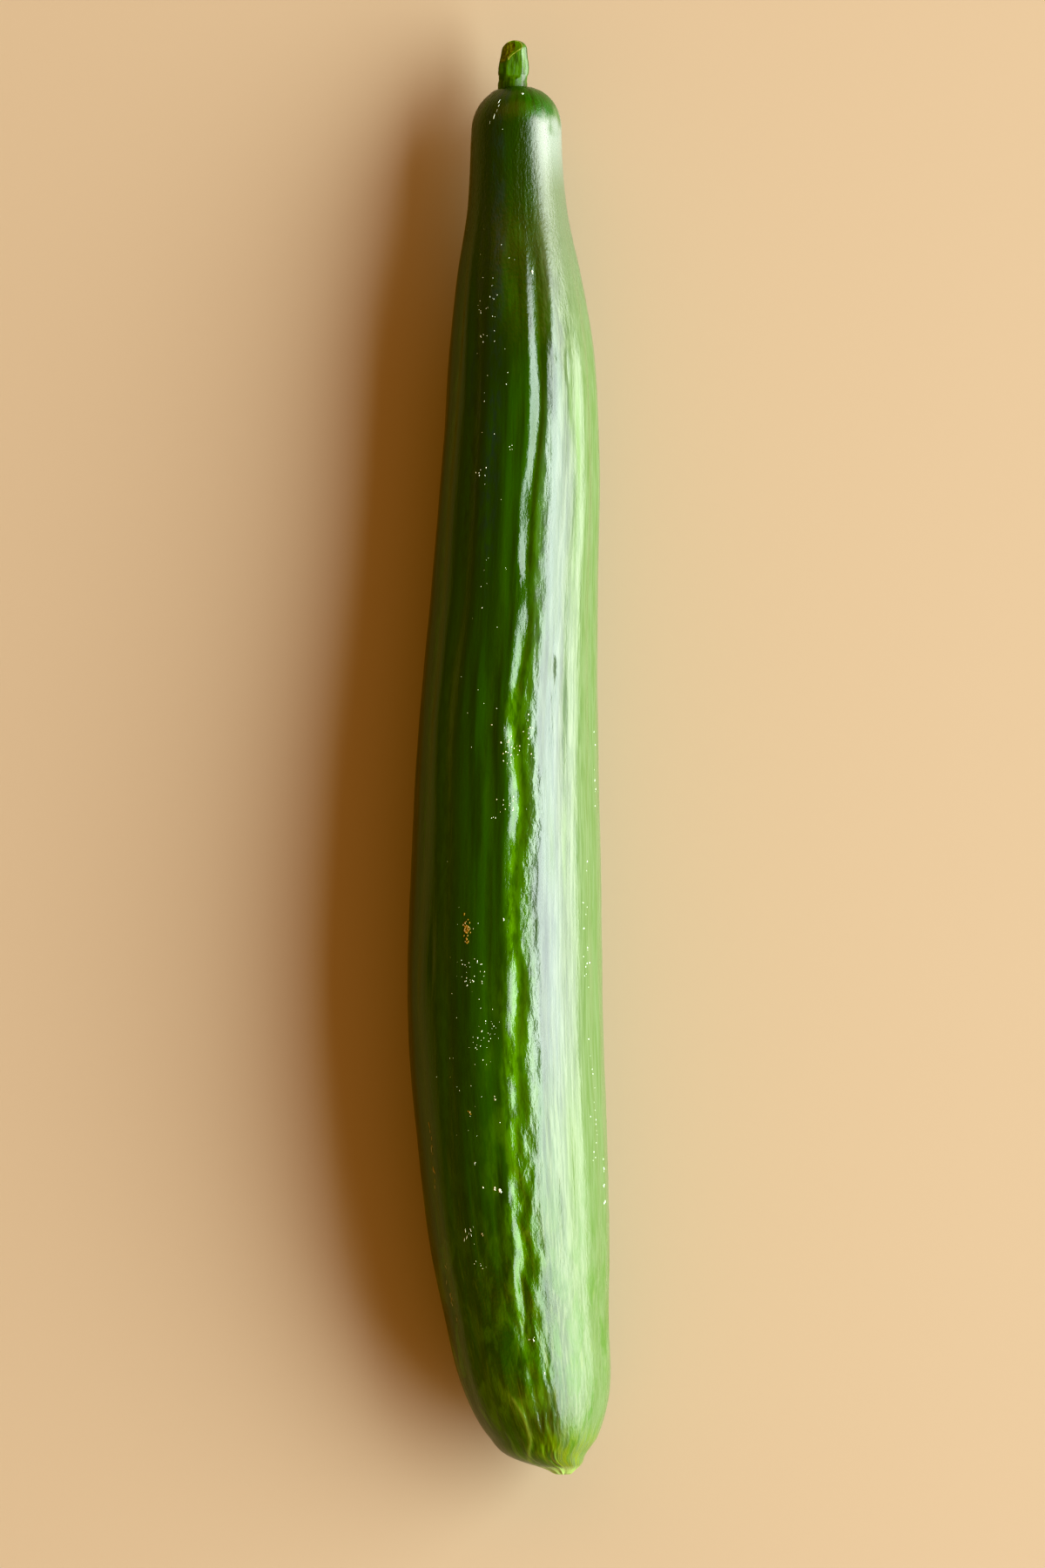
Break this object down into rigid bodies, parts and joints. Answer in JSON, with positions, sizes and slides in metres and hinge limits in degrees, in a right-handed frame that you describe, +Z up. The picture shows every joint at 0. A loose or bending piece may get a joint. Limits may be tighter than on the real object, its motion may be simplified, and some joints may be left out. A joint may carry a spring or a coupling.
{
  "type": "cucumber",
  "caption": "Long greenhouse cucumber with a narrow neck, low ribs, a rounded blossom end and its short cut stem, lying on its side.",
  "frame": {"origin": "on the surface that the cucumber lies on, under the middle of its box", "axes": "+Y along its length towards the stem, +Z up, +X towards the side that the blossom end bends to"},
  "size_m": [0.0464, 0.3296, 0.0443],
  "materials": {
    "cucumber_skin": "waxy satin green skin, darker at the stem end, paler and streaked with yellow-green at the blossom end",
    "stem_skin": "mid-green ribbed stalk with an olive-brown dried cut face and a pale rim"
  },
  "bodies": {
    "root": {"fruit": "cucumber_skin", "stem": "stem_skin"}
  },
  "joints": []
}
